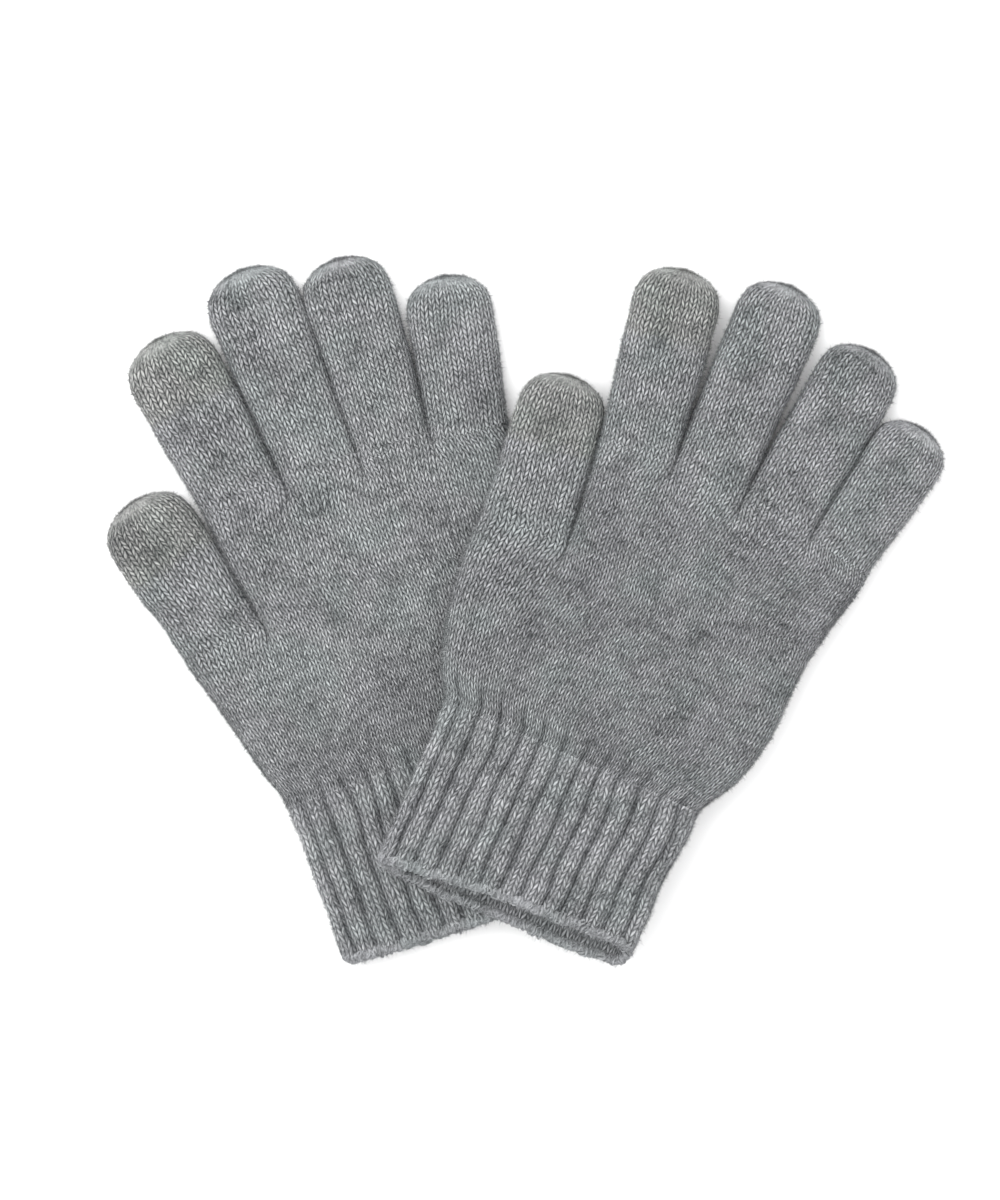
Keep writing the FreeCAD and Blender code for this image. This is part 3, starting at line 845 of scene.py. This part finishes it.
def make_cuff(name, glove):
    """Ribbed cuff: ribs outside, a plain inner wall, and the mouth between them."""
    columns = 2 * RIBS * RIB_WALES * WALE_VERTS
    faces = RIBS * RIB_WALES
    rows = CUFF_COURSES * COURSE_VERTS + 1
    turn = np.arange(columns) / columns
    ribs_passed = turn * 2 * RIBS
    u = RIB_WALES * ribs_passed + GROOVE_CROWDING * np.sin(2 * math.pi * ribs_passed) / (2 * math.pi)
    face_share = np.where(turn <= 0.5, turn * 2, 2 - turn * 2)
    front = np.interp(face_share, np.linspace(0, 1, 5), CUFF_FRONT[name])
    back = np.interp(face_share, np.linspace(0, 1, 5), CUFF_BACK[name])
    side_mix = smooth((np.sin(2 * math.pi * turn) * 4 + 1) / 2)
    end_left, end_right = CUFF_EDGE[name]
    from_edge = np.minimum(face_share, 1 - face_share) * (end_right - end_left)
    end_y = front * side_mix + back * (1 - side_mix) + CUFF_CORNER * (1 - arc(from_edge / CUFF_CORNER))
    wrist_left, wrist_right = float(curve(glove["left"], 0.0)), float(curve(glove["right"], 0.0))
    grid = []
    for share in np.linspace(0, 1, rows):
        left = wrist_left + (end_left - wrist_left) * share
        right = wrist_right + (end_right - wrist_right) * share
        risen = float(smooth(share * 6))
        thick = CUFF_THICK - CUFF_TAPER + 0.4 * risen + 0.6 * share
        section = ring((left, right), (faces - 1,), 0.0, (0.0, 0.0), thick, 0.0, columns, low=0.5 * risen)
        grid.append(section)
    flat = np.array(grid)
    share = np.linspace(0, 1, rows)
    y = 0.4 + (end_y[None, :] - 0.4) * share[:, None]
    points = np.stack([flat[..., 0], y, flat[..., 1]], 2)[::-1]
    y = y[::-1]
    v = np.linspace(0, float(CUFF_COURSES), rows)
    strength = 0.8 + 0.2 * smooth(-y / 7.0)
    ribs = (np.broadcast_to(face_share, y.shape), strength)
    raised, deep, place = knit(points, u, v, 31, relief=RELIEF * 1.15, rib=ribs)
    cloth = Cloth()
    cloth.grid(raised, place, deep, np.zeros_like(deep))
    inner = points - normals(points) * 1.7
    inner_rows, inner_place = inner[::4], place[::4]
    lift = stitch_relief(inner_place[..., 0], inner_place[..., 1], 33) * 0.25
    inner_rows = inner_rows - normals(inner_rows) * lift[..., None]
    # Painted shade on the inner wall of the cuff, darker further in from the hem.
    dark = np.clip(0.25 + 0.06 * (y[::4] - end_y[None, :]), 0, 1)
    cloth.grid(inner_rows, inner_place, dark, np.zeros_like(dark), flip=True)
    out = normals(points).reshape(-1, 3)
    spots = raised.reshape(-1, 3)
    rim = np.clip(1.1 - np.abs(out[:, 2]), 0.25, 1.0) ** 2 * (spots[:, 2] > 0.8)
    nothing = np.zeros(len(spots))
    cloth.fuzz(spots, out, CUFF_FIBRES, 1.8, nothing, deep.reshape(-1), rim / rim.sum())
    return cloth, points


def make_hem(points, seed):
    """Overlocked edge: yarn wound roughly over the rim of the cuff."""
    outward = points[0] - points[8]
    rim = points[0] + outward / np.linalg.norm(outward, axis=1, keepdims=True) * 0.2
    inner = (points - normals(points) * 0.85)[0]
    centre = inner + (rim - points[0]) * 2.0
    n = len(centre)
    cloth = Cloth()
    samples = 900
    at = np.arange(samples) * n / samples
    wrapped = np.concatenate([centre, centre[:1]])
    path = np.stack([np.interp(at, np.arange(n + 1), wrapped[:, k]) for k in range(3)], 1)
    r = np.random.default_rng(seed)

    def rough(width, strength):
        """Noise that closes on itself round the hem."""
        noise = np.tile(r.normal(size=samples), 3)
        return np.convolve(noise, np.ones(width) / math.sqrt(width), "same")[samples:2 * samples] * strength

    path[:, 1] += rough(9, 0.28)
    path[:, 2] += rough(15, 0.10)
    # The core yarn takes painted shade of 0.2 and each wound strand 0.1.
    yarn(cloth, path, 1.35, sides=14, twist=0.0, closed=True, deep=0.2)
    ahead = np.roll(path, -1, 0) - np.roll(path, 1, 0)
    ahead /= np.linalg.norm(ahead, axis=1, keepdims=True)
    side = np.cross(ahead, np.array([[0.0, 0.0, 1.0]]))
    side /= np.linalg.norm(side, axis=1, keepdims=True)
    up = np.cross(side, ahead)
    fine = np.linspace(0, samples, samples * 3, endpoint=False)

    def finer(values):
        return np.interp(fine, np.arange(samples + 1), np.append(values, values[0]))

    place = np.stack([finer(path[:, k]) for k in range(3)], 1)
    side = np.stack([finer(side[:, k]) for k in range(3)], 1)
    up = np.stack([finer(up[:, k]) for k in range(3)], 1)
    strands = ((83, 0.46, 1.3), (109, 0.40, 1.45), (147, 0.34, 1.5))
    for strand, (turns, radius, reach) in enumerate(strands):
        angle = fine / samples * 2 * math.pi * turns + finer(rough(25, 0.75))
        swell = reach * (1 + finer(rough(7, 0.17)))
        wound = place + swell[:, None] * (np.cos(angle)[:, None] * side + np.sin(angle)[:, None] * up)
        yarn(cloth, wound, radius, sides=6, twist=0.15, lay=1.4, closed=True, seed=strand, deep=0.1)
    out = r.normal(size=path.shape)
    out[:, 1] = -np.abs(out[:, 1]) - 0.4
    out /= np.linalg.norm(out, axis=1, keepdims=True)
    zero = np.zeros(len(path))
    cloth.fuzz(path + out * 1.2, out, HEM_FIBRES, 2.4, zero, zero)
    return cloth


def make_elastic(points):
    """Four elastic threads laid round the inner face of the rib."""
    cloth = Cloth()
    rows = len(points)
    for number in range(4):
        row = int(rows * (0.14 + 0.18 * number))
        loop = (points - normals(points) * 2.1)[row][::3]
        yarn(cloth, loop, 0.42, sides=8, twist=0.12, lay=1.1, closed=True, seed=number)
    return cloth


def make_crotch_stitches(glove):
    """Bundles of closing yarn at the foot of each gap."""
    cloth = Cloth()
    feet = [(glove["inner"][0][1] + 0.3, glove["thumb_row"][1] - 1.2)]
    feet += [(x, y - 1.2) for x, y in zip(glove["crotch_x"], glove["knuckles"][1:4])]
    for number, (x, y) in enumerate(feet):
        for strand in range(3):
            t = np.linspace(0, 1, 26)
            swing = 0.55 * np.sin(t * 2 * math.pi * 1.5 + strand * 2.1)
            path = np.stack([x + swing, y + 0.5 * np.cos(t * 9 + strand * 2.1), 1.0 + 4.2 * t], 1)
            yarn(cloth, path, 0.48, sides=8, lay=1.6, seed=strand + number)
    return cloth


def make_tip_seam(grid):
    """Gathered yarn ends that close the fingertip, inside it."""
    cloth = Cloth()
    tip = grid[-1].mean(0)
    back = grid[-16].mean(0)
    axis = (tip - back) / np.linalg.norm(tip - back)
    across = np.cross(axis, np.array([0.0, 0.0, 1.0]))
    centre = tip - axis * 3.4
    for strand in range(4):
        t = np.linspace(-1, 1, 30)
        waves = 0.5 * np.sin(t * 9 + strand * 1.7)
        path = centre + across * (t * 4.2)[:, None] + axis * (waves - 0.9 * t * t)[:, None]
        path = path + np.array([0.0, 0.0, 1.0]) * (0.55 * np.cos(t * 9 + strand * 1.7))[:, None]
        yarn(cloth, path, 0.42, sides=8, lay=1.5, seed=strand)
    return cloth


def make_glove(name, glove):
    matrix = placement(glove)
    moved = to_row(matrix)
    hand = name + "_hand"

    def finish(cloth, piece, material, nodes):
        obj = cloth.build(name + "_" + piece + "_cloth", moved, material)
        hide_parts(*[name + "_" + n for n in nodes])
        return obj

    palm = finish(make_palm(glove), "palm", MELANGE, ["palm"])
    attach(palm, hand)
    stitches = finish(make_crotch_stitches(glove), "crotch_stitches", CLOSING, ["crotch_stitches"])
    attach(stitches, hand)
    cuff_cloth, cuff_points = make_cuff(name, glove)
    cuff = finish(cuff_cloth, "ribbed_cuff", RIB, ["ribbed_cuff"])
    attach(cuff, hand)
    hem = finish(make_hem(cuff_points, 41), "cuff_hem", OVERLOCK, ["cuff_hem"])
    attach(hem, hand)
    elastic = finish(make_elastic(cuff_points), "cuff_elastic", ELASTIC, ["cuff_elastic"])
    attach(elastic, hand)
    for number, finger in enumerate(FINGERS):
        cloths, grid, total = pieces_of_finger(glove, finger, 50 + 10 * number)
        end_part = name + "_" + finger + "_end_part"
        base, root_y = BASE_LENGTH[finger], ROOT_Y[finger]
        first = finish(cloths[0], finger + "_base", MELANGE, [finger + "_base"])
        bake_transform(first)
        second = finish(cloths[1], finger + "_end", MELANGE, [finger + "_end"])
        stop = 1.3 * base
        if finger in TOUCH_FINGERS:
            stop = min(stop, LENGTH[finger] - TOUCH_LENGTH - 4.0)
        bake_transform(second)
        if finger in TOUCH_FINGERS:
            third = finish(cloths[2], finger + "_touch_tip", CONDUCTIVE, [finger + "_touch_tip"])
            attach(third, end_part)
        seam_name = finger + "_tip_seam"
        seam = finish(make_tip_seam(grid), seam_name, CLOSING, [seam_name])
        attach(seam, end_part)


for glove_name, glove_data in GLOVES.items():
    make_glove(glove_name, glove_data)


# ---- floor, light and camera ---------------------------------------------------------------------
def make_floor():
    mesh = bpy.data.meshes.new("floor")
    reach = 1.6
    under = -0.0002
    corners = [(-reach, -reach, under), (reach, -reach, under), (reach, reach, under), (-reach, reach, under)]
    mesh.from_pydata(corners, [], [(0, 1, 2, 3)])
    floor = bpy.data.objects.new("floor", mesh)
    bpy.context.scene.collection.objects.link(floor)
    material, tree = nodes_of("pale_floor")
    shader = tree.nodes.new("ShaderNodeBsdfPrincipled")
    shader.inputs["Base Color"].default_value = (0.93, 0.93, 0.93, 1.0)
    shader.inputs["Roughness"].default_value = 0.9
    out = tree.nodes.new("ShaderNodeOutputMaterial")
    tree.links.new(shader.outputs[0], out.inputs["Surface"])
    mesh.materials.append(material)


def make_light(name, place, size, power):
    """A soft box that faces the middle of the gloves."""
    data = bpy.data.lights.new(name, "AREA")
    data.shape = "RECTANGLE"
    data.size, data.size_y = size
    data.energy = power
    light = bpy.data.objects.new(name, data)
    light.location = place
    aim = -Vector(place)
    light.rotation_euler = aim.to_track_quat("-Z", "Y").to_euler()
    bpy.context.scene.collection.objects.link(light)


make_floor()
make_light("key", (-0.70, 0.45, 0.90), (1.1, 1.1), 10.5)
world = bpy.data.worlds.new("studio")
bpy.context.scene.world = world
world.use_nodes = True
background = world.node_tree.nodes["Background"]
background.inputs["Color"].default_value = (1.0, 1.0, 1.0, 1.0)
background.inputs["Strength"].default_value = 1.50
bpy.context.scene.view_settings.view_transform = "Standard"

CAMERA_CENTRE = (-0.010, 0.0024)
CAMERA_HEIGHT = 1.6
PICTURE_HEIGHT = 0.384
SENSOR_HEIGHT = 24.0
GLOVE_LEVEL = 0.008        # height at which the picture measures PICTURE_HEIGHT
camera_data = bpy.data.cameras.new("camera")
camera = bpy.data.objects.new("camera", camera_data)
bpy.context.scene.collection.objects.link(camera)
camera_data.sensor_fit = "VERTICAL"
camera_data.sensor_height = SENSOR_HEIGHT
camera_data.lens = SENSOR_HEIGHT * (CAMERA_HEIGHT - GLOVE_LEVEL) / PICTURE_HEIGHT
camera.location = (CAMERA_CENTRE[0], CAMERA_CENTRE[1], CAMERA_HEIGHT)
camera.rotation_euler = (0.0, 0.0, 0.0)
bpy.context.scene.camera = camera
